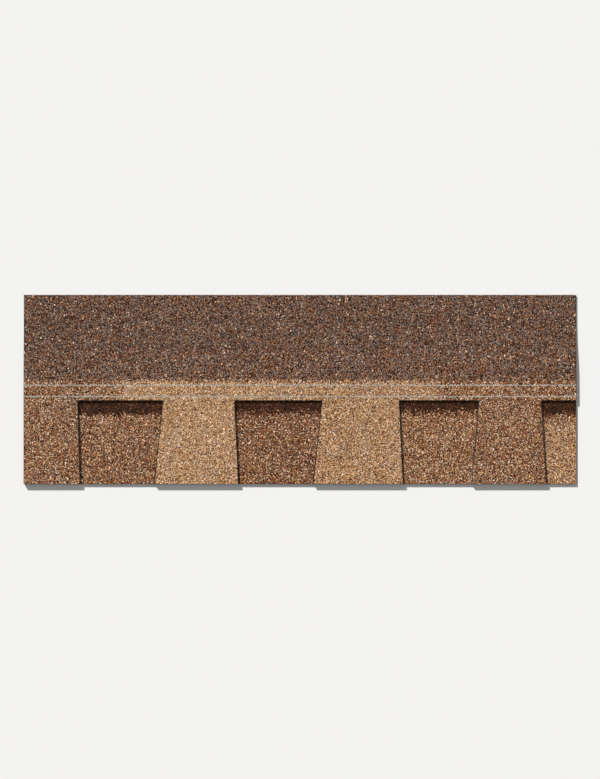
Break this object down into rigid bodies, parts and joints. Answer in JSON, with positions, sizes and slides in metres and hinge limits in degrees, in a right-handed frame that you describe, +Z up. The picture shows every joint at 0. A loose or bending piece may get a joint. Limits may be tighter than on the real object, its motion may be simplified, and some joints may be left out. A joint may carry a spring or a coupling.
{
  "type": "laminated asphalt shingle",
  "caption": "Laminated asphalt strip shingle: a granule-surfaced sheet with flared tabs bonded on a plain backing strip, lying flat.",
  "frame": {"origin": "under the middle of the strip, at ground level", "axes": "+X along the strip, +Y from the butt edge towards the headlap, +Z up out of the granule face"},
  "size_m": [0.984, 0.337, 0.0054],
  "materials": {
    "granules": "crushed mineral granules pressed into asphalt, matte brown blend",
    "sealant": "black modified asphalt, slightly glossy",
    "film": "thin translucent plastic film"
  },
  "bodies": {
    "root": {"top_sheet": "granules", "backing_strip": "granules", "seal_dash_01": "sealant", "seal_dash_02": "sealant", "seal_dash_03": "sealant", "seal_dash_04": "sealant", "seal_dash_05": "sealant", "seal_dash_06": "sealant", "seal_dash_07": "sealant", "seal_dash_08": "sealant", "seal_dash_09": "sealant", "seal_dash_10": "sealant", "seal_dash_11": "sealant", "seal_dash_12": "sealant", "release_film": "film"}
  },
  "joints": []
}
